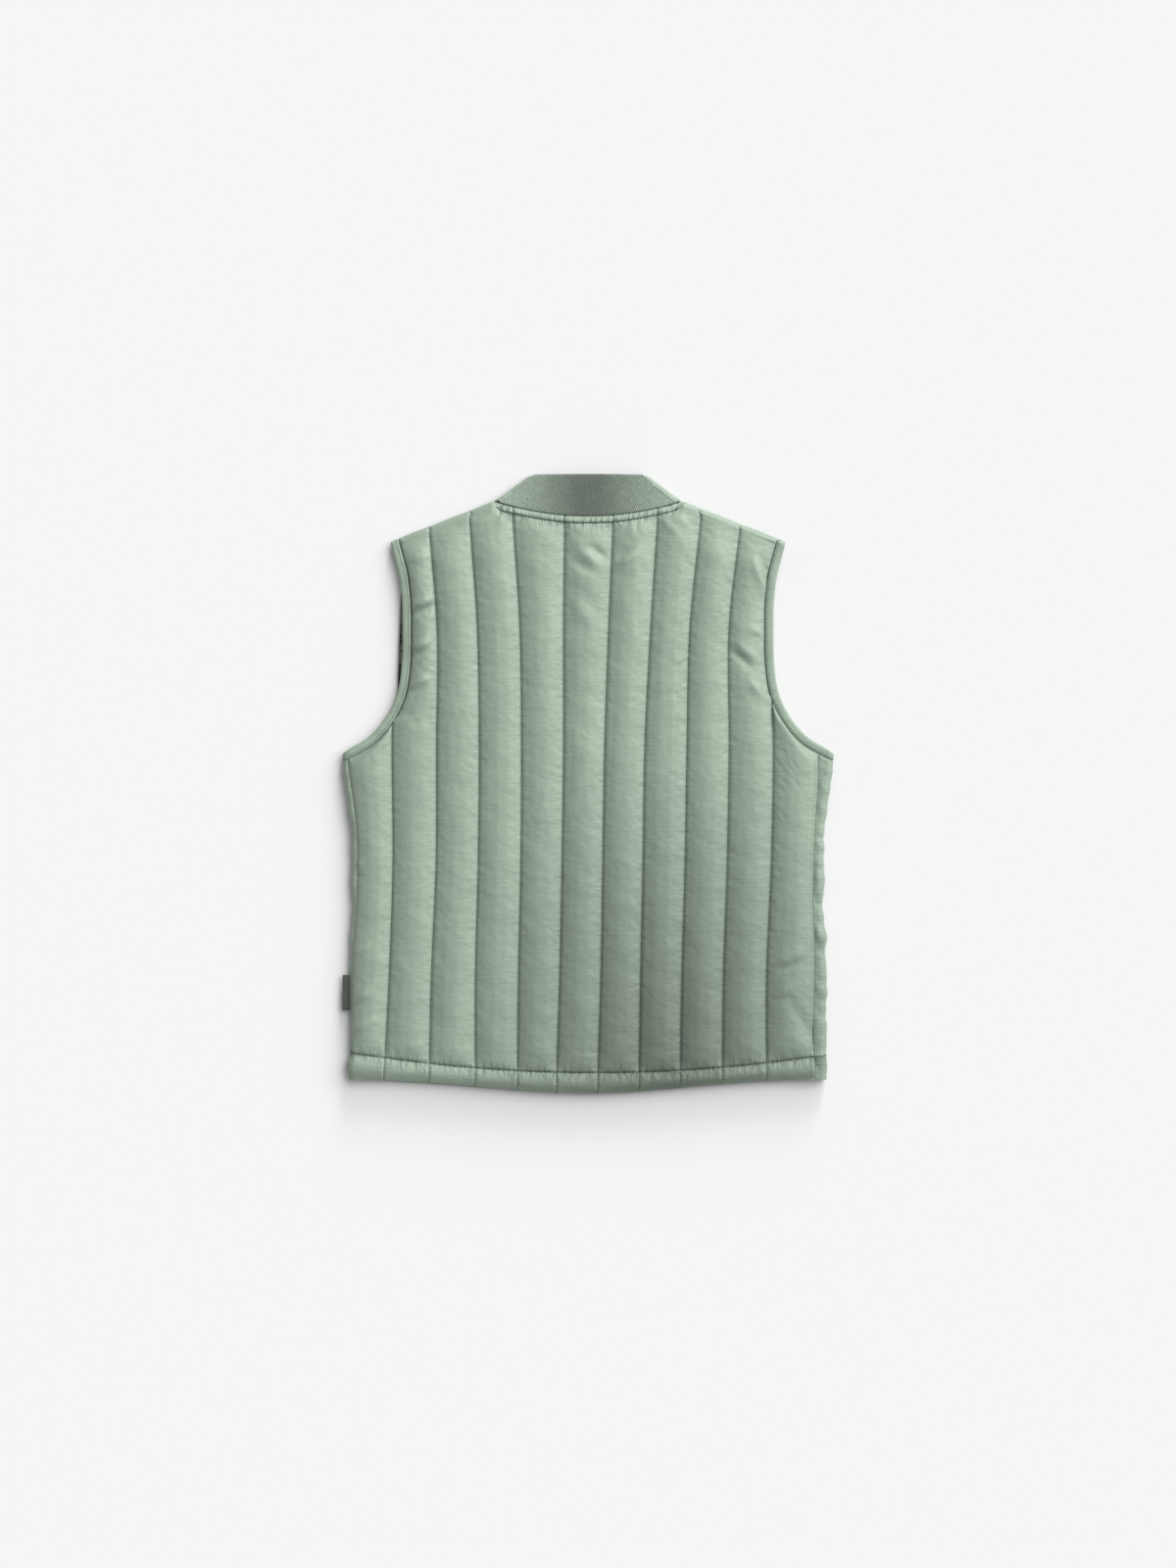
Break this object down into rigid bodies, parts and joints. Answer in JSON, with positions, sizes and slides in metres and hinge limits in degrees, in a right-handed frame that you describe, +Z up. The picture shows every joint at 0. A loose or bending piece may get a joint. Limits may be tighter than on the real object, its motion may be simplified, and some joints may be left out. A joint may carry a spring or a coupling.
{
  "type": "thermal vest, child's, padded",
  "caption": "Child's sage padded vest, quilted in long channels, with a rib stand collar and bound armholes, laid flat and face down.",
  "frame": {"origin": "on the floor, under the middle of the laid-out vest", "axes": "+Z up off the floor, +Y towards the collar, +X to the right as seen from above with the back up"},
  "size_m": [0.3509, 0.4424, 0.0119],
  "materials": {
    "shell": "soft satin woven polyester, padded",
    "binding": "soft satin woven polyester",
    "rib": "matte rib knit",
    "tape": "matte woven tape",
    "stud": "satin moulded cap"
  },
  "bodies": {
    "root": {"back": "shell", "front_left": "shell", "front_right": "shell", "collar": "rib", "armhole_binding_left": "binding", "armhole_binding_right": "binding", "side_label": "tape", "snap_cap_1": "stud", "snap_cap_2": "stud", "snap_cap_3": "stud", "snap_cap_4": "stud", "snap_cap_5": "stud"}
  },
  "joints": []
}
